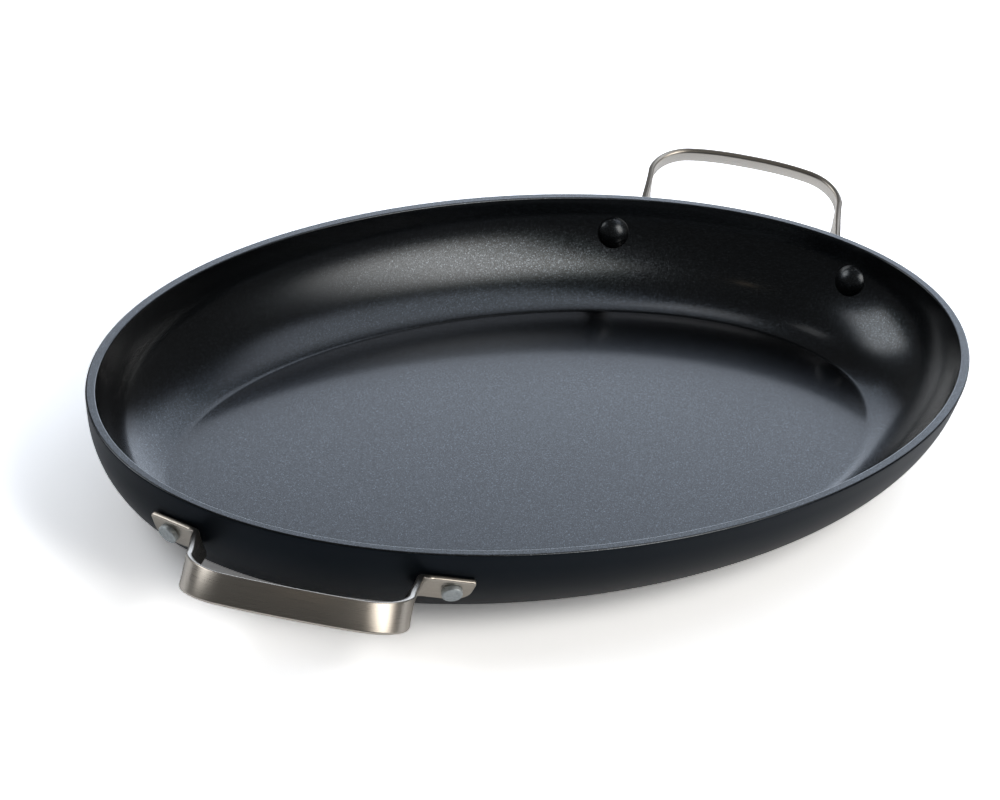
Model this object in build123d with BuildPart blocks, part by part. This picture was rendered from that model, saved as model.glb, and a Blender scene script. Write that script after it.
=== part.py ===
from build123d import *
from math import acos, asin, cos, degrees, radians, sin, sqrt, tan
import os

os.makedirs("parts", exist_ok=True)

# Oval fish pan. Origin on the resting plane under the middle of the oval,
# +X along the long axis, +Z up. All sizes in millimetres.

# body
rim_length = 380.0
rim_width = 249.6
rim_height = 41.2
floor_thickness = 5.1
base_stand_off = 0.5  # aluminium underside above the plate's resting face
wall_draft = 12.0  # degrees from upright, in the straight part below the rim
draft_depth = 7.0
wall_thickness = 3.5
rim_lip = 0.35  # extra width of the flat rim
floor_inset = 34.6  # the crease between wall and floor, in from the rim
outer_arc_end = 70.0  # degrees from upright where the outer arc runs into the cone
rim_round = 0.7

# sole plate
plate_inset = 45.0  # in from the rim
plate_thickness = 1.6
plate_clearance = 0.15
plate_round = 0.4

# handles
handle_station = 36.1  # ellipse parameter of the middle of the rear handle, degrees
rivet_half_spacing = 50.8
rivet_drop = 15.4  # below the rim
strap_width = 11.4
strap_thickness = 2.3
strap_edge_round = 0.75
strap_row_gap = 6.0
lug_outboard = 7.8  # rivet to free end
lug_inboard = 6.6  # rivet to the end of the flat lug
lug_overlap = 2.5
lug_width = 11.8
lug_thickness = 2.4
lug_corner = 4.6
lug_small_corner = 1.2
lug_seat_gap = 0.1
bend_inboard = 11.2  # rivet to the sharp corner of the first bend
bend_radius = 4.5
grip_half_width = 40.0
grip_reach = 43.5  # rim to strap centre at mid grip
grip_rise = 0.1  # mid grip above the rim
grip_tilt = 46.0
corner_reach = 38.7
corner_rise = -1.9
corner_radius = 11.4

# rivets
shank_radius = 2.5
shank_clearance = 0.1
dome_radius = 6.45
dome_height = 3.9
dome_edge = 0.5
head_radius = 3.85
head_height = 2.2
head_round = 0.6
spot_clearance = 0.25

half_length = rim_length / 2
half_width = rim_width / 2
floor_z = floor_thickness
draft = radians(wall_draft)

# outer wall: straight draft, then an arc whose radius puts the inner arc on the floor's crease
draft_inset = draft_depth * tan(draft)
crease_in = draft_inset + rim_lip - floor_inset
crease_down = rim_height - floor_thickness - draft_depth
outer_arc_radius = (
    (wall_thickness**2 - crease_in**2 - crease_down**2)
    / (2 * (crease_in * cos(draft) + crease_down * sin(draft) + wall_thickness)))
inner_arc_radius = outer_arc_radius - wall_thickness
arc_inset = draft_inset + outer_arc_radius * cos(draft)
arc_z = rim_height - draft_depth + outer_arc_radius * sin(draft)
floor_angle = degrees(acos((arc_inset + rim_lip - floor_inset) / inner_arc_radius))


def on_arc(centre_inset, radius, angle):
    return centre_inset - radius * cos(radians(angle)), arc_z - radius * sin(radians(angle))


def arc_stations(centre_inset, radius, end_angle, count):
    return [on_arc(centre_inset, radius, wall_draft + (end_angle - wall_draft) * i / count)
            for i in range(count + 1)]


outer_stations = [(draft_inset * i / 2, rim_height - draft_depth * i / 2) for i in range(2)]
outer_stations += arc_stations(arc_inset, outer_arc_radius, outer_arc_end, 7)
cone_top_inset, cone_top_z = outer_stations[-1]
cone_slope = tan(radians(90.0 - outer_arc_end))
base_inset = cone_top_inset + (cone_top_z - base_stand_off) / cone_slope
outer_stations.append(((cone_top_inset + base_inset) / 2, (cone_top_z + base_stand_off) / 2))
outer_stations.append((base_inset, base_stand_off))

# inner wall: the same draft and a parallel arc from the rim to the crease at the floor
inner_arc_stations = arc_stations(arc_inset + rim_lip, inner_arc_radius, floor_angle, 8)
inner_top_inset, inner_top_z = inner_arc_stations[0]
inner_rim_inset = inner_top_inset - (rim_height - inner_top_z) * tan(draft)
inner_stations = [
    (inner_rim_inset + (inner_top_inset - inner_rim_inset) * i / 2,
     rim_height + (inner_top_z - rim_height) * i / 2)
    for i in range(2)
]
inner_stations += inner_arc_stations

# rivet and lug frames on the rear handle's stretch of wall
station = radians(handle_station)
rim_point = Vector(half_length * cos(station), half_width * sin(station), rim_height)
outward = Vector(cos(station) / half_length, sin(station) / half_width, 0).normalized()
along = Vector(-outward.Y, outward.X, 0)
up = Vector(0, 0, 1)

rivet_angle = asin((arc_z - rim_height + rivet_drop) / outer_arc_radius)
rivet_inset = arc_inset - outer_arc_radius * cos(rivet_angle)
wall_a = half_length - rivet_inset
wall_b = half_width - rivet_inset


def wall_point(s):
    return Vector(wall_a * cos(s), wall_b * sin(s), rim_height - rivet_drop)


def wall_normal(s):
    lean = tan(rivet_angle) * (wall_a * sin(s) ** 2 + wall_b * cos(s) ** 2)
    return Vector(wall_b * cos(s), wall_a * sin(s), -lean).normalized()


def wall_parameter(side):
    # bisection for the point whose distance along the rim tangent is the rivet offset
    low = station
    high = station + side * 1.2
    for _ in range(60):
        middle = (low + high) / 2
        if side * (wall_point(middle) - rim_point).dot(along) < rivet_half_spacing:
            low = middle
        else:
            high = middle
    return (low + high) / 2


def wall_gauge(angle):
    # distance along the outer normal from the outer arc to the inner arc
    start_in = outer_arc_radius * cos(angle) + rim_lip
    start_up = -outer_arc_radius * sin(angle)
    half_b = start_in * cos(angle) - start_up * sin(angle)
    rest = start_in**2 + start_up**2 - inner_arc_radius**2
    return half_b - sqrt(half_b**2 - rest)


rivet_frames = {}
for side in (1, -1):
    parameter = wall_parameter(side)
    normal = wall_normal(parameter)
    level = Vector(-normal.Y, normal.X, 0).normalized()
    rivet_frames[side] = Plane(origin=wall_point(parameter), x_dir=level, z_dir=normal)
gauge = wall_gauge(rivet_angle)


# centre line of the strap as corner points, one side of the grip at a time
def handle_point(reach, across, rise):
    return rim_point + outward * reach + along * across + up * rise


def rounded_corner(before, corner, after, radius, count):
    # points and tangents on the arc that replaces the sharp corner
    enter = (corner - before).normalized()
    leave = (after - corner).normalized()
    turn = acos(enter.dot(leave))
    setback = radius * tan(turn / 2)
    start = corner - enter * setback
    side_way = (leave - enter * enter.dot(leave)).normalized()
    rows = []
    for i in range(count):
        angle = turn * i / (count - 1)
        place = start + enter * (radius * sin(angle)) + side_way * (radius * (1 - cos(angle)))
        heading = enter * cos(angle) + side_way * sin(angle)
        rows.append((place, heading))
    return rows


grip_width_way = (up * cos(radians(grip_tilt)) - outward * sin(radians(grip_tilt))).normalized()


def half_strap(side):
    # rows of (centre, heading, width direction) from the flat of one lug to mid grip
    frame = rivet_frames[side]
    inward = frame.x_dir * -side
    lift = frame.z_dir * (lug_seat_gap + strap_thickness / 2)
    lug_up = frame.z_dir.cross(frame.x_dir)
    lug_start = frame.origin + lift + inward * (lug_inboard - lug_overlap)
    first = frame.origin + lift + inward * bend_inboard
    second = handle_point(corner_reach, side * grip_half_width, corner_rise)
    quarter = handle_point(
        corner_reach + (grip_reach - corner_reach) * 0.62, side * grip_half_width * 0.62,
        corner_rise + (grip_rise - corner_rise) * 0.62)
    middle = handle_point(grip_reach, 0, grip_rise)
    rows = [(lug_start, inward, lug_up)]
    for place, heading in rounded_corner(lug_start, first, second, bend_radius, 8):
        rows.append((place, heading, lug_up))
    corner_rows = rounded_corner(first, second, quarter, corner_radius, 10)
    for place, heading in corner_rows:
        rows.append((place, heading, grip_width_way))
    last_place, last_heading = corner_rows[-1]
    straight = (along * -side).normalized()
    for share in (0.5, 1.0):
        # cubic between the corner's end and mid grip, level at mid grip
        reach_span = (middle - last_place).length
        h1 = 2 * share**3 - 3 * share**2 + 1
        h2 = -2 * share**3 + 3 * share**2
        h3 = share**3 - 2 * share**2 + share
        h4 = share**3 - share**2
        place = (last_place * h1 + middle * h2
                 + last_heading * (h3 * reach_span) + straight * (h4 * reach_span))
        slope = (last_place * (6 * share**2 - 6 * share) + middle * (6 * share - 6 * share**2)
                 + last_heading * ((3 * share**2 - 4 * share + 1) * reach_span)
                 + straight * ((3 * share**2 - 2 * share) * reach_span))
        rows.append((place, slope.normalized(), grip_width_way))
    return rows


left_rows = half_strap(-1)
right_rows = half_strap(1)
strap_rows = list(left_rows)
for place, heading, width_way in reversed(right_rows[:-1]):
    strap_rows.append((place, heading * -1, width_way))

# long gaps are filled so that the rows are never more than a few millimetres apart
even_rows = [strap_rows[0]]
for place, heading, width_way in strap_rows[1:]:
    old_place, old_heading, old_width_way = even_rows[-1]
    pieces_between = int((place - old_place).length / strap_row_gap) + 1
    for i in range(1, pieces_between + 1):
        share = i / pieces_between
        even_rows.append((
            old_place * (1 - share) + place * share,
            (old_heading * (1 - share) + heading * share).normalized(),
            (old_width_way * (1 - share) + width_way * share).normalized()))

strap_planes = []
for place, heading, width_way in even_rows:
    square_way = (width_way - heading * width_way.dot(heading)).normalized()
    strap_planes.append(Plane(origin=place, x_dir=square_way, z_dir=heading))


with BuildPart() as pan_body:
    for inset, level in outer_stations:
        with BuildSketch(Plane.XY.offset(level)):
            Ellipse(half_length - inset, half_width - inset)
    loft()
    for inset, level in inner_stations:
        with BuildSketch(Plane.XY.offset(level)):
            Ellipse(half_length - inset, half_width - inset)
    loft(mode=Mode.SUBTRACT)
    fillet(pan_body.faces().sort_by(Axis.Z)[-1].edges(), rim_round)
    # recess for the sole plate
    with BuildSketch(Plane.XY.offset(base_stand_off)):
        Ellipse(half_length - plate_inset + plate_clearance, half_width - plate_inset + plate_clearance)
    extrude(amount=plate_thickness - base_stand_off, mode=Mode.SUBTRACT)
    # rivet holes with a flat spot face inside, for both handles
    for turn_over in (0, 180):
        for side in (1, -1):
            frame = rivet_frames[side]
            spot = frame.offset(-gauge)
            seat = Plane(origin=spot.origin, x_dir=spot.x_dir, z_dir=spot.z_dir * -1)
            hole = Plane(origin=frame.offset(2).origin, x_dir=frame.x_dir, z_dir=frame.z_dir * -1)
            if turn_over:
                seat = Plane(Location((0, 0, 0), (0, 0, 180)) * seat.location)
                hole = Plane(Location((0, 0, 0), (0, 0, 180)) * hole.location)
            with BuildSketch(seat):
                Circle(dome_radius + spot_clearance)
            extrude(amount=3, mode=Mode.SUBTRACT)
            with BuildSketch(hole):
                Circle(shank_radius + shank_clearance)
            extrude(amount=gauge + 4, mode=Mode.SUBTRACT)
pan_body.part.label = "pan_body"

with BuildPart() as sole_plate:
    with BuildSketch():
        Ellipse(half_length - plate_inset, half_width - plate_inset)
    extrude(amount=plate_thickness)
    fillet(sole_plate.faces().sort_by(Axis.Z)[0].edges(), plate_round)
sole_plate.part.label = "sole_plate"

with BuildPart() as handle_rear:
    for side in (1, -1):
        # flat lug on the wall, its lower free corner cut to a large radius
        free_x = side * lug_outboard
        inner_x = -side * lug_inboard
        half = lug_width / 2
        with BuildSketch(rivet_frames[side].offset(lug_seat_gap)):
            with BuildLine():
                Polyline((free_x - side * lug_corner, -half), (inner_x, -half), (inner_x, half),
                         (free_x - side * lug_small_corner, half))
                ThreePointArc(
                    (free_x - side * lug_small_corner, half),
                    (free_x - side * lug_small_corner * 0.2929, half - lug_small_corner * 0.2929),
                    (free_x, half - lug_small_corner))
                Line((free_x, half - lug_small_corner), (free_x, lug_corner - half))
                ThreePointArc(
                    (free_x, lug_corner - half),
                    (free_x - side * lug_corner * 0.2929, lug_corner * 0.2929 - half),
                    (free_x - side * lug_corner, -half))
            make_face()
            Circle(shank_radius + shank_clearance, mode=Mode.SUBTRACT)
        extrude(amount=lug_thickness)
    for plane in strap_planes:
        with BuildSketch(plane):
            RectangleRounded(strap_width, strap_thickness, strap_edge_round)
    loft(ruled=True)
handle_rear.part.label = "handle_rear"

with BuildPart() as handle_front:
    add(handle_rear.part.rotate(Axis.Z, 180))
handle_front.part.label = "handle_front"

# one rivet about its own axis: +Z out through the lug, origin on the wall's outer face
lug_face = lug_seat_gap + lug_thickness
dome_rise = dome_height - dome_edge
dome_sphere = (dome_radius**2 + dome_rise**2) / (2 * dome_rise)
dome_half = dome_radius / 2
with BuildPart() as rivet_blank:
    with BuildSketch(Plane.XZ):
        with BuildLine():
            Line((0, -gauge - dome_height), (0, lug_face + head_height))
            Line((0, lug_face + head_height), (head_radius - head_round, lug_face + head_height))
            JernArc((head_radius - head_round, lug_face + head_height), (1, 0), head_round, -90)
            Line((head_radius, lug_face + head_height - head_round), (head_radius, lug_face))
            Line((head_radius, lug_face), (shank_radius, lug_face))
            Line((shank_radius, lug_face), (shank_radius, -gauge))
            Line((shank_radius, -gauge), (dome_radius, -gauge))
            Line((dome_radius, -gauge), (dome_radius, -gauge - dome_edge))
            ThreePointArc(
                (dome_radius, -gauge - dome_edge),
                (dome_half, -gauge - dome_height + dome_sphere - sqrt(dome_sphere**2 - dome_half**2)),
                (0, -gauge - dome_height))
        make_face()
    revolve(axis=Axis.Z)

with BuildPart() as rivet_rear_left:
    add(rivet_blank.part.moved(rivet_frames[1].location))
rivet_rear_left.part.label = "rivet_rear_left"

with BuildPart() as rivet_rear_right:
    add(rivet_blank.part.moved(rivet_frames[-1].location))
rivet_rear_right.part.label = "rivet_rear_right"

with BuildPart() as rivet_front_left:
    add(rivet_rear_right.part.rotate(Axis.Z, 180))
rivet_front_left.part.label = "rivet_front_left"

with BuildPart() as rivet_front_right:
    add(rivet_rear_left.part.rotate(Axis.Z, 180))
rivet_front_right.part.label = "rivet_front_right"

export_step(pan_body.part, "parts/pan_body.step")
export_step(sole_plate.part, "parts/sole_plate.step")
export_step(handle_front.part, "parts/handle_front.step")
export_step(handle_rear.part, "parts/handle_rear.step")
export_step(rivet_front_left.part, "parts/rivet_front_left.step")
export_step(rivet_front_right.part, "parts/rivet_front_right.step")
export_step(rivet_rear_left.part, "parts/rivet_rear_left.step")
export_step(rivet_rear_right.part, "parts/rivet_rear_right.step")

pieces = (pan_body, sole_plate, handle_front, handle_rear,
          rivet_front_left, rivet_front_right, rivet_rear_left, rivet_rear_right)
for piece in pieces:
    box = piece.part.bounding_box()
    print(piece.part.label, len(piece.part.solids()), round(piece.part.volume, 1), box.min, box.max)
print("gauge", gauge, "floor", floor_z, "base", half_length - base_inset, half_width - base_inset)
print("outer arc", outer_arc_radius, "floor angle", floor_angle)
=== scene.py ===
import math

import bmesh
import bpy
import numpy as np
from mathutils import Matrix


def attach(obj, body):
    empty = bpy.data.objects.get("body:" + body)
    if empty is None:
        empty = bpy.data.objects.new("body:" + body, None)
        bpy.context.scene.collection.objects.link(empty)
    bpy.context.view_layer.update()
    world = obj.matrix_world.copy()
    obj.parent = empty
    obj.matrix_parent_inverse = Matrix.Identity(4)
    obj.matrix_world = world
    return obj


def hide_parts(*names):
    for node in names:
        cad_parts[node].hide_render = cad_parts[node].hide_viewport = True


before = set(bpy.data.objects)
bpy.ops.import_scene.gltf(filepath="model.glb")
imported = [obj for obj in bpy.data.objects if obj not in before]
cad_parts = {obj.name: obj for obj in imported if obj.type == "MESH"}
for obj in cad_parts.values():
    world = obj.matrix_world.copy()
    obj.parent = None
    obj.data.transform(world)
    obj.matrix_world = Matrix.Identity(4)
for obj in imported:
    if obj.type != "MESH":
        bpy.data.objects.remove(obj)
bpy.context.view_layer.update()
mm = 0.001
print("frame loaded")


# colours and nodes

def hexColour(text):
    channels = [int(text[i:i + 2], 16) / 255 for i in (1, 3, 5)]
    linear = [c / 12.92 if c <= 0.04045 else ((c + 0.055) / 1.055) ** 2.4 for c in channels]
    return (*linear, 1.0)


def addNode(tree, kind, settings=None, inputs=None, links=None):
    # settings are node attributes, inputs are socket values, links join another node's output
    node = tree.nodes.new(kind)
    for name, value in (settings or {}).items():
        setattr(node, name, value)
    for name, value in (inputs or {}).items():
        node.inputs[name].default_value = value
    for name, (source, output) in (links or {}).items():
        tree.links.new(source.outputs[output], node.inputs[name])
    return node


def newMaterial(name):
    material = bpy.data.materials.new(name)
    material.use_nodes = True
    material.node_tree.nodes.clear()
    return material, material.node_tree


def setRamp(ramp, stops):
    elements = ramp.color_ramp.elements
    while len(elements) > len(stops):
        elements.remove(elements[-1])
    while len(elements) < len(stops):
        elements.new(1.0)
    for element, (place, colour) in zip(elements, stops):
        element.position = place
        element.color = hexColour(colour)


# meshes

def makeMesh(name, points, quads, triangles=(), smooth=True):
    mesh = bpy.data.meshes.new(name)
    faces = [list(q) for q in np.asarray(quads).tolist()] + [list(t) for t in triangles]
    mesh.from_pydata(np.asarray(points).tolist(), [], faces)
    mesh.validate()
    if smooth:
        mesh.polygons.foreach_set("use_smooth", np.ones(len(mesh.polygons), dtype=bool))
    mesh.update()
    piece = bpy.data.objects.new(name, mesh)
    bpy.context.scene.collection.objects.link(piece)
    return piece


def gridQuads(rows, columns):
    # quads of a grid that closes on itself across the columns
    i, j = np.meshgrid(np.arange(rows - 1), np.arange(columns), indexing="ij")
    k = (j + 1) % columns
    a, b = i * columns + j, i * columns + k
    c, d = (i + 1) * columns + k, (i + 1) * columns + j
    return np.stack([a, b, c, d], axis=-1).reshape(-1, 4)


def fanTriangles(first, count, pole, flip=False):
    ring = np.arange(count)
    a, b = first + ring, first + (ring + 1) % count
    fan = np.stack([a, b, np.full(count, pole)], axis=-1)
    return (fan[:, ::-1] if flip else fan).tolist()


def closedTube(name, rings, ends, halfTurn=False):
    # rings of points in millimetres, joined in order, and closed by a fan to a pole at each end
    rows, columns = rings.shape[:2]
    points = np.vstack([rings.reshape(-1, 3), ends])
    if halfTurn:
        points = points * np.array([-1, -1, 1])
    caps = fanTriangles(0, columns, rows * columns, flip=True)
    caps += fanTriangles((rows - 1) * columns, columns, rows * columns + 1)
    return makeMesh(name, points * mm, gridQuads(rows, columns), caps)


def recalculate(piece):
    work = bmesh.new()
    work.from_mesh(piece.data)
    bmesh.ops.recalc_face_normals(work, faces=work.faces)
    work.to_mesh(piece.data)
    work.free()


def unit(v):
    v = np.asarray(v, float)
    return v / np.linalg.norm(v, axis=-1, keepdims=True)


def smoothStep(s):
    return s * s * (3 - 2 * s)


# the oval body: rings of ellipses, each with its own two half axes and height, in millimetres

body = {
    "length": 380.0, "width": 249.6, "height": 41.2, "floor": 5.1,
    "standOff": 0.5, "draft": 12.0, "draftDepth": 7.0, "wall": 3.5, "rimLip": 0.35,
    "floorInset": 34.6, "floorCrown": 1.3, "outerEnd": 70.0, "rimRound": 0.7, "creaseRound": 1.2,
    "baseTurn": 2.0, "coneTurn": 2.5, "creaseBack": 2.0,
    "edgeStep": 0.05, "rimStep": 0.2, "floorStep": 0.5,
    "outerRows": 40, "innerRows": 48, "segments": 480,
}
# the body's recess follows the sole plate that lies in it
plate = {
    "inset": 45.0, "thickness": 1.6, "round": 0.4, "gap": 0.15,
    "edgeStep": 0.05, "topGap": 0.01, "segments": 256,
}
halfLength, halfWidth = body["length"] / 2, body["width"] / 2

draft = math.radians(body["draft"])
draftInset = body["draftDepth"] * math.tan(draft)
creaseIn = draftInset + body["rimLip"] - body["floorInset"]
creaseDown = body["height"] - body["floor"] - body["draftDepth"]
# radius of the outer arc that lets the parallel inner arc end on the floor's crease
outerRadius = ((body["wall"] ** 2 - creaseIn ** 2 - creaseDown ** 2)
               / (2 * (creaseIn * math.cos(draft) + creaseDown * math.sin(draft) + body["wall"])))
innerRadius = outerRadius - body["wall"]
arcInset = draftInset + outerRadius * math.cos(draft)
arcLevel = body["height"] - body["draftDepth"] + outerRadius * math.sin(draft)
creaseCosine = (arcInset + body["rimLip"] - body["floorInset"]) / innerRadius
innerEnd = math.degrees(math.acos(creaseCosine)) - body["creaseBack"]


def ovalShell(name, profile, segments):
    # x = (a - inset) cos t, y = (b - inset) sin t, z = level; shrink scales a ring to the middle
    inset, level, shrink = np.array(profile).T[:, :, None]
    t = np.linspace(0, 2 * np.pi, segments, endpoint=False)
    x = (halfLength - inset) * shrink * np.cos(t)
    y = (halfWidth - inset) * shrink * np.sin(t)
    rings = np.stack([x, y, np.repeat(level, segments, axis=1)], axis=-1)
    return closedTube(name, rings, [[0, 0, level[0, 0]], [0, 0, level[-1, 0]]])


def arcRows(centreInset, radius, startAngle, endAngle, count):
    # inset = centre - r cos, level = centre height - r sin
    a = np.radians(np.linspace(startAngle, endAngle, count))
    insets, levels = centreInset - radius * np.cos(a), arcLevel - radius * np.sin(a)
    return [(inset, level, 1.0) for inset, level in zip(insets, levels)]


def leaningRows(faceInset, startLevel, endLevel):
    # two rows on a straight face that leans out by the draft
    levels = [startLevel + (endLevel - startLevel) * share for share in (0.35, 0.7)]
    return [(faceInset + (body["height"] - z) * math.tan(draft), z, 1.0) for z in levels]


def undersideRows(coneInset, coneLevel):
    # the recess, the base, a soft turn and the cone that meets the outer arc
    b = body
    recess, base = plate["inset"] - plate["gap"], b["standOff"]
    slope = math.tan(math.radians(90 - b["outerEnd"]))
    baseInset = coneInset + (coneLevel - base) / slope
    edge = (plate["thickness"] - b["edgeStep"], base + b["edgeStep"], base)
    rows = [(recess, plate["thickness"], s) for s in (0.05, 0.35, 0.7, 0.999, 1.0)]
    rows += [(recess, level, 1.0) for level in edge]
    rows += [(inset, base, 1.0) for inset in (recess - 2 * b["edgeStep"], baseInset + b["baseTurn"])]
    for share in np.linspace(0, 1, 6):
        climb = share ** 2 * b["coneTurn"]
        rows.append((baseInset + b["baseTurn"] * (1 - share) ** 2 - climb, base + climb * slope, 1.0))
    turnInset, turnLevel = baseInset - b["coneTurn"], base + b["coneTurn"] * slope
    for share in np.linspace(0.25, 1, 6)[:-1]:
        rows.append((turnInset + (coneInset - turnInset) * share,
                     turnLevel + (coneLevel - turnLevel) * share, 1.0))
    return rows


def rimRows(outerLevel, innerInset, innerLevel):
    # over the rounded rim, between two faces that both lean out by the draft
    r, top, step = body["rimRound"], body["height"], body["rimStep"]
    sinDraft, cosDraft = math.sin(draft), math.cos(draft)
    innerFace = innerInset - (top - innerLevel) * math.tan(draft)
    outerMiddle = r * (1 + sinDraft) / cosDraft
    innerMiddle = innerFace - r * (1 - sinDraft) / cosDraft
    rows = leaningRows(0.0, outerLevel, top - r * (1 + sinDraft))
    rows += [(outerMiddle - r * math.cos(a), top - r + r * math.sin(a), 1.0)
             for a in np.linspace(-draft, math.pi / 2, 9)]
    rows += [(inset, top, 1.0) for inset in np.linspace(outerMiddle + step, innerMiddle - step, 4)]
    rows += [(innerMiddle + r * math.cos(a), top - r + r * math.sin(a), 1.0)
             for a in np.linspace(math.pi / 2, draft, 9)]
    return rows + leaningRows(innerFace, top - r * (1 - sinDraft), innerLevel)


def floorRows(wallInset, wallLevel):
    # the crease where wall meets floor, then the floor: height = crown (1 - shrink^2)
    b = body
    floor, edge = b["floor"], b["floorInset"] + b["creaseRound"]
    rows = [(wallInset + (edge - wallInset) * share, floor + (wallLevel - floor) * (1 - share) ** 2, 1.0)
            for share in np.linspace(0, 1, 8)[1:]]
    shrinks = (1.0, 0.97, *np.linspace(0.94, 0.04, 16))
    return rows + [(edge + b["floorStep"], floor + b["floorCrown"] * (1 - s * s), s) for s in shrinks]


def bodyProfile():
    # rows of (inset, level, shrink) from mid underside, over the rim, to the middle of the floor
    b = body
    outer = arcRows(arcInset, outerRadius, b["outerEnd"], b["draft"], b["outerRows"])
    inner = arcRows(arcInset + b["rimLip"], innerRadius, b["draft"], innerEnd, b["innerRows"])
    return (undersideRows(*outer[0][:2]) + outer + rimRows(outer[-1][1], *inner[0][:2])
            + inner + floorRows(*inner[-1][:2]))


panBody = ovalShell("pan_body_shell", bodyProfile(), body["segments"])
print("body", len(panBody.data.vertices))


# sole plate in its recess

def plateProfile():
    # the underside, its rounded edge, the side, and the top just clear of the recess
    p = plate
    r, inset, top = p["round"], p["inset"], p["thickness"]
    turn = np.radians(np.linspace(0, 90, 6))
    rows = [(inset + r, 0.0, s) for s in (0.02, 0.2, 0.4, 0.6, 0.8, 0.95)]
    rows += [(inset + r - r * math.sin(a), r - r * math.cos(a), 1.0) for a in turn]
    rows += [(inset, level, 1.0) for level in (top / 2, top - p["edgeStep"])]
    return rows + [(inset + p["edgeStep"], top - p["topGap"], s) for s in (1.0, 0.7, 0.3, 0.02)]


solePlate = ovalShell("sole_plate_disc", plateProfile(), plate["segments"])
print("sole plate")


# where the handles and rivets sit on the wall; reach is outwards from the rim and rise upwards

handle = {
    "station": 36.1, "rivetHalfSpacing": 50.8, "rivetDrop": 15.4,
    "width": 11.4, "thickness": 2.3, "edgeRound": 0.75,
    "lugOutboard": 7.8, "lugWidth": 11.8, "lugCorner": 7.0, "lugSmallCorner": 1.2, "lugTurn": 8.5,
    "lugEase": 6.0, "seatGap": 0.1, "bendInboard": 13.6, "bendRadius": 8.0,
    "gripHalfWidth": 40.0, "gripReach": 43.5, "gripRise": 0.1, "gripTilt": 46.0,
    "cornerReach": 38.7, "cornerRise": -1.9, "cornerRadius": 18.0, "cornerLead": 0.62,
    "bendRows": 18, "cornerRows": 28, "legRows": 14, "gripRows": 24, "edgeRows": 6,
}
station = math.radians(handle["station"])
rimPoint = np.array([halfLength * math.cos(station), halfWidth * math.sin(station), body["height"]])
outward = unit([math.cos(station) / halfLength, math.sin(station) / halfWidth, 0])
along = np.array([-outward[1], outward[0], 0])
upward = np.array([0.0, 0.0, 1.0])
gripTilt = math.radians(handle["gripTilt"])
gripWay = unit(upward * math.cos(gripTilt) - outward * math.sin(gripTilt))
rivetAngle = math.asin((arcLevel - body["height"] + handle["rivetDrop"]) / outerRadius)
rivetInset = arcInset - outerRadius * math.cos(rivetAngle)
wallA, wallB = halfLength - rivetInset, halfWidth - rivetInset


def wallFrame(side):
    # point, level direction, up direction and normal of the wall at one rivet,
    # where a walk along the wall has gone half the rivets' spacing sideways
    walk = station + side * np.linspace(0, 1.2, 20001)
    level = np.full_like(walk, body["height"] - handle["rivetDrop"])
    points = np.stack([wallA * np.cos(walk), wallB * np.sin(walk), level], -1)
    offset = np.abs(side * (points - rimPoint) @ along - handle["rivetHalfSpacing"])
    k = int(offset.argmin())
    s, c = math.sin(walk[k]), math.cos(walk[k])
    lean = math.tan(rivetAngle) * (wallA * s * s + wallB * c * c)
    normal = unit([wallB * c, wallA * s, -lean])
    sideways = unit([-normal[1], normal[0], 0])
    return points[k], sideways, np.cross(normal, sideways), normal


def wallGauge():
    # thickness of the wall along the rivet
    x = outerRadius * math.cos(rivetAngle) + body["rimLip"]
    y = -outerRadius * math.sin(rivetAngle)
    half = x * math.cos(rivetAngle) - y * math.sin(rivetAngle)
    return half - math.sqrt(half * half - x * x - y * y + innerRadius ** 2)


gauge = wallGauge()
wallFrames = {side: wallFrame(side) for side in (1, -1)}


# a strap handle: a rounded bar section carried along a bent centre line

def handleAt(reach, across, rise):
    return rimPoint + outward * reach + along * across + upward * rise


def bentCorner(before, corner, after, radius, count):
    # an arc that touches both legs of a corner
    enter, leave = unit(corner - before), unit(after - corner)
    cosTurn = float(enter @ leave)
    turn = math.acos(cosTurn)
    start = corner - enter * radius * math.tan(turn / 2)
    sideWay = unit(leave - enter * cosTurn)
    a = np.linspace(0, turn, count)[:, None]
    return (start + enter * radius * np.sin(a) + sideWay * radius * (1 - np.cos(a)),
            enter * np.cos(a) + sideWay * np.sin(a))


def cubicCurve(start, startWay, end, endWay, count):
    # cubic between two places with a heading at each, after its first row
    s = np.linspace(0, 1, count)[1:, None]
    span = np.linalg.norm(end - start)
    place = (start * (2 * s**3 - 3 * s**2 + 1) + end * (-2 * s**3 + 3 * s**2)
             + startWay * (s**3 - 2 * s**2 + s) * span + endWay * (s**3 - s**2) * span)
    heading = ((end - start) * (6 * s - 6 * s**2)
               + startWay * (3 * s**2 - 4 * s + 1) * span + endWay * (3 * s**2 - 2 * s) * span)
    return place, heading


def lugSteps(lugRun):
    # distances from the free end: small steps where its corners and edges turn
    h = handle
    turns = [(h["edgeRound"], 0.0, 7), (h["lugSmallCorner"], 0.0, 7), (h["lugCorner"], 0.2, 16)]
    runs = [radius * (1 - np.cos(np.linspace(start, np.pi / 2, count))) for radius, start, count in turns]
    runs.append(np.linspace(h["lugCorner"], lugRun, 9)[:-1])
    steps = np.unique(np.round(np.concatenate(runs), 3))
    leastStep = 0.02
    return steps[np.concatenate([[True], np.diff(steps) > leastStep])]


def runAlong(place):
    return np.concatenate([[0], np.cumsum(np.linalg.norm(np.diff(place, axis=0), axis=1))])


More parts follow.
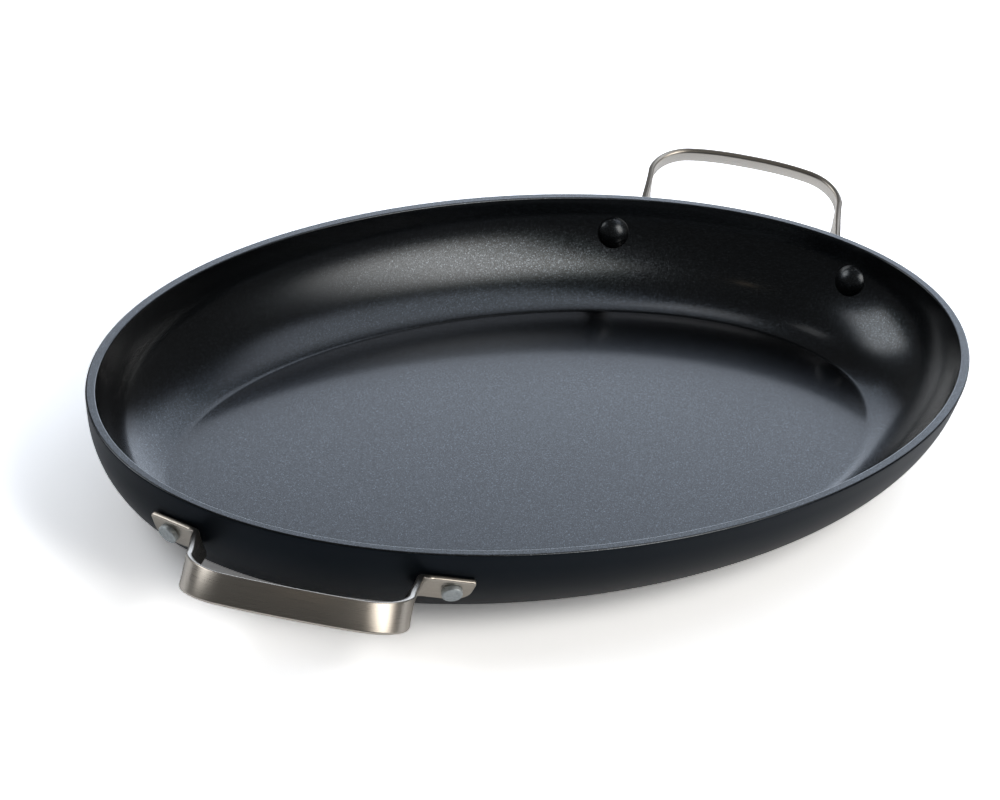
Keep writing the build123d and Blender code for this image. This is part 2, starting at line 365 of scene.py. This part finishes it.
def halfStrap(side):
    # centre line, heading, width direction and distance from a lug's free end to mid grip
    h = handle
    origin, sideways, steep, normal = wallFrames[side]
    # each lug lies on the wall with its free end a little low
    turn = math.radians(h["lugTurn"])
    inward = steep * math.sin(turn) - sideways * side * math.cos(turn)
    lugUp = steep * math.cos(turn) + sideways * side * math.sin(turn)
    lift = normal * (h["seatGap"] + h["thickness"] / 2)
    freeEnd = origin + lift - inward * h["lugOutboard"]
    bend = origin + lift + inward * h["bendInboard"]
    corner = handleAt(h["cornerReach"], side * h["gripHalfWidth"], h["cornerRise"])
    middle = handleAt(h["gripReach"], 0, h["gripRise"])
    # the grip leaves its corner towards a place part of the way to mid grip
    lead = h["cornerLead"]
    ahead = handleAt(h["cornerReach"] + (h["gripReach"] - h["cornerReach"]) * lead,
                     side * h["gripHalfWidth"] * lead,
                     h["cornerRise"] + (h["gripRise"] - h["cornerRise"]) * lead)
    bendPlace, bendHeading = bentCorner(freeEnd, bend, corner, h["bendRadius"], h["bendRows"])
    cornerPlace, cornerHeading = bentCorner(bend, corner, ahead, h["cornerRadius"], h["cornerRows"])
    gripPlace, gripHeading = cubicCurve(cornerPlace[-1], cornerHeading[-1], middle, along * -side,
                                        h["gripRows"])
    steps = lugSteps(np.linalg.norm(bendPlace[0] - freeEnd))
    lugPlace = freeEnd + inward * steps[:, None]
    legShare = np.linspace(0, 1, h["legRows"])[1:-1, None]
    legPlace = bendPlace[-1] * (1 - legShare) + cornerPlace[0] * legShare
    place = np.vstack([lugPlace, bendPlace, legPlace, cornerPlace, gripPlace])
    heading = np.vstack([np.repeat(inward[None], len(steps), 0), bendHeading,
                         np.repeat(bendHeading[-1:], len(legPlace), 0), cornerHeading, gripHeading])
    # the width direction turns from the lug's to the grip's along the leg
    blend = np.vstack([np.zeros((len(steps) + len(bendPlace), 1)), smoothStep(legShare),
                       np.ones((len(cornerPlace) + len(gripPlace), 1))])
    return place, unit(heading), lugUp * (1 - blend) + gripWay * blend, runAlong(place)


def cornerCut(fromEnd, radius):
    # how far a corner arc of this radius draws the edge in, at each distance from the end
    d = np.clip(fromEnd, 0, radius)
    return radius - np.sqrt(np.maximum(radius ** 2 - (radius - d) ** 2, 0))


def strapMesh(name, halfTurn):
    h = handle
    # the second half runs back from mid grip to its own free end, so its heading turns round
    place, heading, width, fromEnd = [
        np.concatenate([first, sign * second[-2::-1]])
        for first, second, sign in zip(halfStrap(-1), halfStrap(1), (1, -1, 1, 1))]
    width = unit(width - heading * (width * heading).sum(1, keepdims=True))
    thick = np.cross(heading, width)
    # the lug is slightly wider than the strap
    ease = smoothStep(np.clip((fromEnd - h["lugOutboard"] - h["lugEase"]) / h["lugEase"], 0, 1))
    half = (h["lugWidth"] + (h["width"] - h["lugWidth"]) * ease) / 2
    upper = half - cornerCut(fromEnd, h["lugSmallCorner"])
    lower = half - cornerCut(fromEnd, h["lugCorner"])
    squeeze = cornerCut(fromEnd, h["edgeRound"])
    halfThick = h["thickness"] / 2 - squeeze
    r = np.minimum(h["edgeRound"], halfThick)[:, None]
    a = np.linspace(0, np.pi / 2, h["edgeRows"])
    # going round the section: each corner's signs, and whether its arc starts at the face
    overWidth, throughStrap = [], []
    for widthSign, thickSign, fromFace in [(1, 1, 0), (-1, 1, 1), (-1, -1, 0), (1, -1, 1)]:
        cosA, sinA = (np.sin(a), np.cos(a)) if fromFace else (np.cos(a), np.sin(a))
        reach = ((upper if widthSign > 0 else lower) - squeeze)[:, None]
        overWidth.append(widthSign * (reach - r + r * cosA))
        throughStrap.append(thickSign * (halfThick[:, None] - r + r * sinA))
    w, t = np.hstack(overWidth), np.hstack(throughStrap)
    rings = place[:, None] + width[:, None] * w[..., None] + thick[:, None] * t[..., None]
    piece = closedTube(name, rings, [rings[0].mean(0), rings[-1].mean(0)], halfTurn)
    # millimetres along the strap, over its width and through it, for the brushing
    distance = runAlong(place)
    run = np.concatenate([np.repeat(distance, w.shape[1]), distance[[0, -1]]])
    across, through = (np.concatenate([v.ravel(), [0, 0]]) for v in (w, t))
    brush = piece.data.attributes.new("brushLine", "FLOAT_VECTOR", "POINT")
    line = np.stack([run, across, through], -1).astype(np.float32)
    brush.data.foreach_set("vector", line.ravel())
    return piece


handleRear = strapMesh("handle_rear_strap", False)
handleFront = strapMesh("handle_front_strap", True)
print("handles", len(handleRear.data.vertices))


# rivets: domed inside, flat button outside, turned about their own axis

rivet = {
    "shank": 2.5, "domeRadius": 6.45, "domeHeight": 3.9, "domeEdge": 0.5,
    "headRadius": 3.85, "headHeight": 2.2, "headRound": 0.6, "headGap": 0.1,
    "edgeStep": 0.05, "seatStep": 0.02, "coatDepth": 0.5, "segments": 72,
}
# each rivet's side of its handle, and whether it is on the handle that is turned round
rivetPlan = {
    "rivet_rear_left": (1, False), "rivet_rear_right": (-1, False),
    "rivet_front_left": (-1, True), "rivet_front_right": (1, True),
}


def rivetProfile():
    # radius and height along the axis, from the dome's crown to the head's middle
    v = rivet
    step, dome, head, r = v["edgeStep"], v["domeRadius"], v["headRadius"], v["headRound"]
    lugFace = handle["seatGap"] + handle["thickness"] + v["headGap"]
    top = lugFace + v["headHeight"]
    rise = v["domeHeight"] - v["domeEdge"]
    sphere = (dome ** 2 + rise ** 2) / (2 * rise)
    sweep = math.asin(dome / sphere)
    a = np.linspace(0.02, sweep - 0.03, 20)
    b = np.radians(np.linspace(0, 90, 8))
    return np.vstack([
        np.stack([sphere * np.sin(a), -gauge - v["domeHeight"] + sphere * (1 - np.cos(a))], -1),
        [[dome, -gauge - v["domeEdge"] + 2 * step], [dome, -gauge - v["seatStep"]],
         [dome - 2 * step, -gauge]],
        [[v["shank"], -gauge], [v["shank"], lugFace], [head - step, lugFace], [head, lugFace + step]],
        np.stack([head - r + r * np.cos(b), top - r + r * np.sin(b)], -1),
        [[head * share, top] for share in (0.7, 0.4, 0.1)],
    ])


def rivetMesh(name, side, halfTurn):
    origin, sideways, steep, normal = wallFrames[side]
    radius, height = rivetProfile().T
    t = np.linspace(0, 2 * np.pi, rivet["segments"], endpoint=False)
    circle = np.cos(t)[:, None] * sideways + np.sin(t)[:, None] * steep
    rings = origin + radius[:, None, None] * circle + height[:, None, None] * normal
    ends = [origin + normal * height[0], origin + normal * height[-1]]
    piece = closedTube(name, rings, ends, halfTurn)
    return piece, np.concatenate([np.repeat(height, rivet["segments"]), height[[0, -1]]])


rivets = {name: rivetMesh(name + "_turned", *place) for name, place in rivetPlan.items()}
print("rivets")

for piece in [panBody, solePlate, handleRear, handleFront] + [piece for piece, _ in rivets.values()]:
    recalculate(piece)


# materials; sizes are in millimetres, and a pattern too fine to show is drawn coarser than it is

def roughnessSpan(look):
    # a pattern's middle values, spread over the roughness
    return {"From Min": 0.3, "From Max": 0.7,
            "To Min": look["roughness"] - look["spread"], "To Max": look["roughness"] + look["spread"]}


def micaCoat(name, look):
    # sprayed ceramic film: near-black body with mica flakes lying almost flat, under a smooth clear face
    material, tree = newMaterial(name)
    coords = addNode(tree, "ShaderNodeTexCoord")
    place = {"Vector": (coords, "Object")}
    flakes = addNode(tree, "ShaderNodeTexVoronoi", {"feature": "F1"},
                     {"Scale": 1000 / look["flakeSize"], "Randomness": 1.0}, place)
    pick = addNode(tree, "ShaderNodeSeparateColor", links={"Color": (flakes, "Color")})
    tone = addNode(tree, "ShaderNodeValToRGB", links={"Fac": (pick, "Red")})
    setRamp(tone, look["flakeTones"])
    # each flake leans its own small way
    centred = addNode(tree, "ShaderNodeVectorMath", {"operation": "SUBTRACT"},
                      {1: (0.5, 0.5, 0.5)}, {0: (flakes, "Color")})
    lean = addNode(tree, "ShaderNodeVectorMath", {"operation": "SCALE"},
                   {"Scale": look["flakeLean"]}, {0: (centred, "Vector")})
    surface = addNode(tree, "ShaderNodeNewGeometry")
    tilted = addNode(tree, "ShaderNodeVectorMath", {"operation": "ADD"},
                     links={0: (surface, "Normal"), 1: (lean, "Vector")})
    flakeFace = addNode(tree, "ShaderNodeVectorMath", {"operation": "NORMALIZE"},
                        links={0: (tilted, "Vector")})
    cloud = addNode(tree, "ShaderNodeTexNoise",
                    inputs={"Scale": 1000 / look["cloudSize"], "Detail": 3.0}, links=place)
    haze = addNode(tree, "ShaderNodeMapRange", inputs=roughnessSpan(look), links={"Value": (cloud, "Fac")})
    peel = addNode(tree, "ShaderNodeTexNoise",
                   inputs={"Scale": 1000 / look["peelSize"], "Detail": 2.0}, links=place)
    face = addNode(tree, "ShaderNodeBump", inputs={"Strength": look["peel"], "Distance": 0.0001},
                   links={"Height": (peel, "Fac")})
    shader = addNode(tree, "ShaderNodeBsdfPrincipled",
                     inputs={"Metallic": 1.0, "Coat Weight": 1.0, "Coat IOR": look["filmIor"],
                             "Coat Roughness": look["filmRoughness"]},
                     links={"Base Color": (tone, "Color"), "Roughness": (haze, "Result"),
                            "Normal": (flakeFace, "Vector"), "Coat Normal": (face, "Normal")})
    addNode(tree, "ShaderNodeOutputMaterial", links={"Surface": (shader, "BSDF")})
    return material


def mattCoat(name, look):
    # thin black coat over blasted aluminium: fine grain, soft dark reflection
    material, tree = newMaterial(name)
    coords = addNode(tree, "ShaderNodeTexCoord")
    place = {"Vector": (coords, "Object")}
    cloud = addNode(tree, "ShaderNodeTexNoise",
                    inputs={"Scale": 1000 / look["cloudSize"], "Detail": 4.0}, links=place)
    tone = addNode(tree, "ShaderNodeValToRGB", links={"Fac": (cloud, "Fac")})
    setRamp(tone, look["tones"])
    haze = addNode(tree, "ShaderNodeMapRange", inputs=roughnessSpan(look), links={"Value": (cloud, "Fac")})
    grain = addNode(tree, "ShaderNodeTexNoise",
                    inputs={"Scale": 1000 / look["grainSize"], "Detail": 3.0}, links=place)
    face = addNode(tree, "ShaderNodeBump", inputs={"Strength": look["grain"], "Distance": 0.0001},
                   links={"Height": (grain, "Fac")})
    shader = addNode(tree, "ShaderNodeBsdfPrincipled",
                     inputs={"IOR": look["ior"], "Specular IOR Level": look["shine"],
                             "Specular Tint": hexColour(look["shineTint"])},
                     links={"Base Color": (tone, "Color"), "Roughness": (haze, "Result"),
                            "Normal": (face, "Normal")})
    addNode(tree, "ShaderNodeOutputMaterial", links={"Surface": (shader, "BSDF")})
    return material


def brushedSteel(name, look):
    # stainless strip brushed along its length: long fine lines, stretched highlights
    material, tree = newMaterial(name)
    line = addNode(tree, "ShaderNodeAttribute", {"attribute_name": "brushLine"})
    stretch = addNode(tree, "ShaderNodeMapping",
                      inputs={"Scale": (look["lineRun"], look["lineAcross"], look["lineAcross"])},
                      links={"Vector": (line, "Vector")})
    streak = addNode(tree, "ShaderNodeTexNoise", inputs={"Scale": 1.0, "Detail": 4.0, "Roughness": 0.65},
                     links={"Vector": (stretch, "Vector")})
    tone = addNode(tree, "ShaderNodeValToRGB", links={"Fac": (streak, "Fac")})
    setRamp(tone, look["tones"])
    rough = addNode(tree, "ShaderNodeMapRange", inputs=roughnessSpan(look),
                    links={"Value": (streak, "Fac")})
    bump = addNode(tree, "ShaderNodeBump", inputs={"Strength": look["bump"], "Distance": 0.0001},
                   links={"Height": (streak, "Fac")})
    shader = addNode(tree, "ShaderNodeBsdfPrincipled", inputs={"Metallic": 1.0},
                     links={"Base Color": (tone, "Color"), "Roughness": (rough, "Result"),
                            "Normal": (bump, "Normal")})
    addNode(tree, "ShaderNodeOutputMaterial", links={"Surface": (shader, "BSDF")})
    return material


def pressedAluminium(name, look):
    # upset aluminium head, matt and slightly grey from the press
    material, tree = newMaterial(name)
    coords = addNode(tree, "ShaderNodeTexCoord")
    grain = addNode(tree, "ShaderNodeTexNoise", inputs={"Scale": look["grainsPerMetre"], "Detail": 3.0},
                    links={"Vector": (coords, "Object")})
    tone = addNode(tree, "ShaderNodeValToRGB", links={"Fac": (grain, "Fac")})
    setRamp(tone, look["tones"])
    bump = addNode(tree, "ShaderNodeBump", inputs={"Strength": look["bump"], "Distance": 0.0002},
                   links={"Height": (grain, "Fac")})
    shader = addNode(tree, "ShaderNodeBsdfPrincipled",
                     inputs={"Metallic": look["metallic"], "Roughness": look["roughness"]},
                     links={"Base Color": (tone, "Color"), "Normal": (bump, "Normal")})
    addNode(tree, "ShaderNodeOutputMaterial", links={"Surface": (shader, "BSDF")})
    return material


def ringPolishedSteel(name, look):
    # rolled stainless sole: fine oval rings from polishing about the middle
    material, tree = newMaterial(name)
    coords = addNode(tree, "ShaderNodeTexCoord")
    apart = addNode(tree, "ShaderNodeSeparateXYZ", links={"Vector": (coords, "Object")})
    wide = addNode(tree, "ShaderNodeMath", {"operation": "MULTIPLY"},
                   {1: halfLength / halfWidth * look["ringStretch"]}, {0: (apart, "Y")})
    flat = addNode(tree, "ShaderNodeCombineXYZ", links={"X": (apart, "X"), "Y": (wide, "Value")})
    reach = addNode(tree, "ShaderNodeVectorMath", {"operation": "LENGTH"}, links={0: (flat, "Vector")})
    rings = addNode(tree, "ShaderNodeTexNoise", {"noise_dimensions": "1D"},
                    {"Scale": look["ringsPerMetre"], "Detail": 3.0}, {"W": (reach, "Value")})
    tone = addNode(tree, "ShaderNodeValToRGB", links={"Fac": (rings, "Fac")})
    setRamp(tone, look["tones"])
    bump = addNode(tree, "ShaderNodeBump", inputs={"Strength": look["bump"], "Distance": 0.0001},
                   links={"Height": (rings, "Fac")})
    shader = addNode(tree, "ShaderNodeBsdfPrincipled",
                     inputs={"Metallic": 1.0, "Roughness": look["roughness"]},
                     links={"Base Color": (tone, "Color"), "Normal": (bump, "Normal")})
    addNode(tree, "ShaderNodeOutputMaterial", links={"Surface": (shader, "BSDF")})
    return material


insideLook = {  # real flakes are under 0.1 mm, so these are drawn coarser to show
    "flakeSize": 0.3, "flakeLean": 0.065, "roughness": 0.24, "spread": 0.02,
    "flakeTones": [(0.0, "#232529"), (0.5, "#2e3235"), (0.9, "#3b4045"), (1.0, "#545a60")],
    "cloudSize": 60.0, "peelSize": 2.2, "peel": 0.03, "filmIor": 1.34, "filmRoughness": 0.11,
}
domeLook = dict(insideLook, flakeLean=0.03, flakeSize=0.2, roughness=0.36, peelSize=1.5)
outsideLook = {
    "tones": [(0.3, "#14191e"), (0.7, "#181d23")], "cloudSize": 45.0, "roughness": 0.38, "spread": 0.03,
    "grainSize": 0.5, "grain": 0.1, "ior": 1.42, "shine": 0.16, "shineTint": "#a8c6ea",
}
steelLook = {  # brushing lines per millimetre, along the strap and across it
    "lineRun": 0.05, "lineAcross": 7.0, "roughness": 0.29, "spread": 0.03, "bump": 0.14,
    "tones": [(0.3, "#b1aba3"), (0.55, "#b8b2a9"), (0.75, "#bfb9b0")],
}
headLook = {
    "grainsPerMetre": 900.0, "tones": [(0.3, "#a9b1b5"), (0.7, "#c3cacd")],
    "bump": 0.35, "metallic": 0.75, "roughness": 0.5,
}
soleLook = {
    "ringsPerMetre": 1400.0, "ringStretch": 1.22, "tones": [(0.3, "#a8a8a6"), (0.7, "#c4c4c2")],
    "bump": 0.2, "roughness": 0.32,
}
insideCoat = micaCoat("sprayed_ceramic_film_with_mica", insideLook)
outsideCoat = mattCoat("sprayed_matt_black_coat", outsideLook)
handleSteel = brushedSteel("brushed_stainless_strip", steelLook)
rivetHead = pressedAluminium("pressed_aluminium_head", headLook)
rivetDome = micaCoat("sprayed_ceramic_film_on_dome", domeLook)
sole = ringPolishedSteel("ring_polished_stainless_sole", soleLook)


def dress(piece, *materials):
    piece.data.materials.clear()
    for material in materials:
        piece.data.materials.append(material)


def faceVectors(piece, kind):
    values = np.empty(len(piece.data.polygons) * 3)
    piece.data.polygons.foreach_get(kind, values)
    return values.reshape(-1, 3)


def coatedInside():
    # faces of the body that look up or towards the middle: the inside coat starts on top of the rim
    centre, normal = faceVectors(panBody, "center") / mm, faceVectors(panBody, "normal")
    inwards = (centre[:, :2] * normal[:, :2]).sum(1) < 0
    upwards, overhanging = normal[:, 2] > 0.5, normal[:, 2] < -0.05
    aboveBase = centre[:, 2] > body["floor"] - 0.2
    return aboveBase & (upwards | inwards & ~overhanging)


dress(panBody, outsideCoat, insideCoat)
panBody.data.polygons.foreach_set("material_index", coatedInside().astype(np.int32))
dress(solePlate, sole)
dress(handleRear, handleSteel)
dress(handleFront, handleSteel)
for piece, heights in rivets.values():
    dress(piece, rivetHead, rivetDome)
    corners = [face.vertices[0] for face in piece.data.polygons]
    inner = heights[corners] < -rivet["coatDepth"]
    piece.data.polygons.foreach_set("material_index", inner.astype(np.int32))

# every piece rides on the one body, in place of its CAD node
places = [
    (panBody, "pan_body", "coated_aluminium"), (solePlate, "sole_plate", "sole_steel"),
    (handleRear, "handle_rear", "handle_steel"), (handleFront, "handle_front", "handle_steel"),
]
places += [(piece, node, "rivet_aluminium") for node, (piece, _) in rivets.items()]
for piece, node, slot in places:
    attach(piece, "root")
    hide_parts(node)
print("materials and bodies")


# floor, light and camera; angles in degrees, the camera's sizes in millimetres, the lamps' in metres

studio = {
    "azimuth": -39.70, "elevation": 29.96, "roll": 9.62, "distance": 1715.8,
    "aimX": -32.65, "aimY": -17.82, "focalPixels": 4557.2, "frameWidth": 1000, "sensorWidth": 36.0,
    "floorReach": 6.0, "paperTones": [(0.3, "#f3f5f8"), (0.7, "#f5f7fa")], "paperGrain": 40.0,
    "paperGain": 2.45, "paperGlow": 0.12, "mirrorShare": 0.25, "air": 0.09,
}
# azimuth is measured from the camera's own, and level is the panel's brightness, where 1 is white;
# soft is the share of each half that falls off to the edge, fade the top's brightness over the bottom's
lamps = {
    "key_box_right": {"azimuth": 70, "elevation": 40, "distance": 2.2, "width": 1.9, "height": 2.4,
                      "level": 4.6, "soft": (0.9, 0.7), "colour": "#fffaf3"},
    "back_panel": {"azimuth": 174, "elevation": 22, "distance": 2.5, "width": 3.4, "height": 1.9,
                   "level": 2.8, "soft": (0.6, 0.15), "fade": 0.35, "colour": "#e4efff"},
    "left_reflector": {"azimuth": -100, "elevation": 37, "distance": 2.2, "width": 1.8, "height": 1.7,
                       "level": 3.0, "soft": (0.6, 0.7)},
    "top_panel": {"azimuth": 140, "elevation": 58, "distance": 2.2, "width": 1.6, "height": 1.3,
                  "level": 1.3, "soft": (0.7, 0.6), "colour": "#eef4ff"},
    "top_box_a": {"azimuth": 169, "elevation": 67, "distance": 2.0, "width": 0.36, "height": 0.5,
                  "level": 0.9, "soft": (0.4, 0.5)},
    "top_box_b": {"azimuth": -141, "elevation": 69, "distance": 2.0, "width": 0.3, "height": 0.34,
                  "level": 0.9, "soft": (0.4, 0.5)},
    "front_spot": {"azimuth": -8, "elevation": 65, "distance": 2.0, "width": 0.26, "height": 0.2,
                   "level": 0.9, "soft": (0.8, 0.8), "colour": "#ffe6c8"},
}


def paper(name):
    # matt white paper: it lights the object as plain paper, but the camera and anything seen
    # through it get a lift to white, and reflections a share of that lift
    material, tree = newMaterial(name)
    coords = addNode(tree, "ShaderNodeTexCoord")
    grain = addNode(tree, "ShaderNodeTexNoise", inputs={"Scale": studio["paperGrain"]},
                    links={"Vector": (coords, "Object")})
    tone = addNode(tree, "ShaderNodeValToRGB", links={"Fac": (grain, "Fac")})
    setRamp(tone, studio["paperTones"])
    path = addNode(tree, "ShaderNodeLightPath")
    seen = addNode(tree, "ShaderNodeMath", {"operation": "MULTIPLY_ADD"}, {1: studio["mirrorShare"]},
                   {0: (path, "Is Glossy Ray"), 2: (path, "Is Camera Ray")})
    seen = addNode(tree, "ShaderNodeMath", {"operation": "ADD", "use_clamp": True},
                   links={0: (seen, "Value"), 1: (path, "Is Transmission Ray")})
    gain = addNode(tree, "ShaderNodeMapRange", inputs={"To Min": 1.0, "To Max": studio["paperGain"]},
                   links={"Value": (seen, "Value")})
    lifted = addNode(tree, "ShaderNodeVectorMath", {"operation": "SCALE"},
                     links={0: (tone, "Color"), "Scale": (gain, "Result")})
    glow = addNode(tree, "ShaderNodeMath", {"operation": "MULTIPLY"}, {1: studio["paperGlow"]},
                   {0: (seen, "Value")})
    sheet = addNode(tree, "ShaderNodeBsdfDiffuse", links={"Color": (lifted, "Vector")})
    light = addNode(tree, "ShaderNodeEmission", links={"Strength": (glow, "Value")})
    both = addNode(tree, "ShaderNodeAddShader", links={0: (sheet, "BSDF"), 1: (light, "Emission")})
    addNode(tree, "ShaderNodeOutputMaterial", links={"Surface": (both, "Shader")})
    return material


def studioFloor():
    corners = np.array([[-1, -1, 0], [1, -1, 0], [1, 1, 0], [-1, 1, 0]]) * studio["floorReach"]
    floor = makeMesh("studio_floor", corners, [[0, 1, 2, 3]], smooth=False)
    dress(floor, paper("matt_white_paper"))


def direction(azimuth, elevation):
    a, e = math.radians(azimuth), math.radians(elevation)
    return np.array([math.sin(a) * math.cos(e), -math.cos(a) * math.cos(e), math.sin(e)])


def setUp(item, name, right, top, back, place):
    # stands a lamp or a camera in the scene; it looks against back
    stand = bpy.data.objects.new(name, item)
    bpy.context.scene.collection.objects.link(stand)
    rows = [[right[i], top[i], back[i], place[i]] for i in range(3)]
    stand.matrix_world = Matrix(rows + [[0, 0, 0, 1]])
    return stand


def softBox(name, azimuth, elevation, distance, width, height, level, soft, fade=1.0, colour="#ffffff"):
    light = bpy.data.lights.new(name, "AREA")
    light.shape = "RECTANGLE"
    light.size, light.size_y = width, height
    light.energy = level * math.pi * width * height
    light.color = hexColour(colour)[:3]
    light.use_nodes = True
    tree = light.node_tree
    cloth = addNode(tree, "ShaderNodeNewGeometry")
    apart = addNode(tree, "ShaderNodeSeparateXYZ", links={"Vector": (cloth, "Parametric")})
    share = addNode(tree, "ShaderNodeMapRange", inputs={"To Min": 1.0, "To Max": fade},
                    links={"Value": (apart, "Y")})
    for axis, edge, output in zip("XY", soft, ("Result", "Value")):
        middle = addNode(tree, "ShaderNodeMath", {"operation": "MULTIPLY_ADD"}, {1: 2.0, 2: -1.0},
                         {0: (apart, axis)})
        away = addNode(tree, "ShaderNodeMath", {"operation": "ABSOLUTE"}, links={0: (middle, "Value")})
        fall = addNode(tree, "ShaderNodeMapRange", {"interpolation_type": "SMOOTHSTEP"},
                       {"From Min": 1.0 - edge, "From Max": 1.0, "To Min": 1.0, "To Max": 0.0},
                       {"Value": (away, "Value")})
        share = addNode(tree, "ShaderNodeMath", {"operation": "MULTIPLY"},
                        links={0: (share, output), 1: (fall, "Result")})
    tree.links.new(share.outputs["Value"], tree.nodes["Emission"].inputs["Strength"])
    back = direction(studio["azimuth"] + azimuth, elevation)
    right = unit(np.cross([0, 0, 1.0], back))
    setUp(light, name, right, np.cross(back, right), back, back * distance)


def studioAir():
    world = bpy.data.worlds.new("studio_air")
    bpy.context.scene.world = world
    world.use_nodes = True
    air = world.node_tree.nodes["Background"]
    air.inputs["Color"].default_value = hexColour("#ffffff")
    air.inputs["Strength"].default_value = studio["air"]


def photoCamera():
    s = studio
    azimuth, roll = math.radians(s["azimuth"]), math.radians(s["roll"])
    back = direction(s["azimuth"], s["elevation"])
    level = np.array([math.cos(azimuth), math.sin(azimuth), 0])
    steep = np.cross(back, level)
    right = level * math.cos(roll) + steep * math.sin(roll)
    top = steep * math.cos(roll) - level * math.sin(roll)
    place = (np.array([s["aimX"], s["aimY"], body["height"]]) + back * s["distance"]) * mm
    lens = bpy.data.cameras.new("photo_camera")
    lens.sensor_width = s["sensorWidth"]
    lens.lens = s["focalPixels"] / s["frameWidth"] * lens.sensor_width
    lens.clip_start, lens.clip_end = 0.05, 50
    bpy.context.scene.camera = setUp(lens, "photo_camera", right, top, back, place)


studioFloor()
for name, lamp in lamps.items():
    softBox(name, **lamp)
studioAir()
photoCamera()
bpy.context.scene.view_settings.view_transform = "Standard"
print("studio")
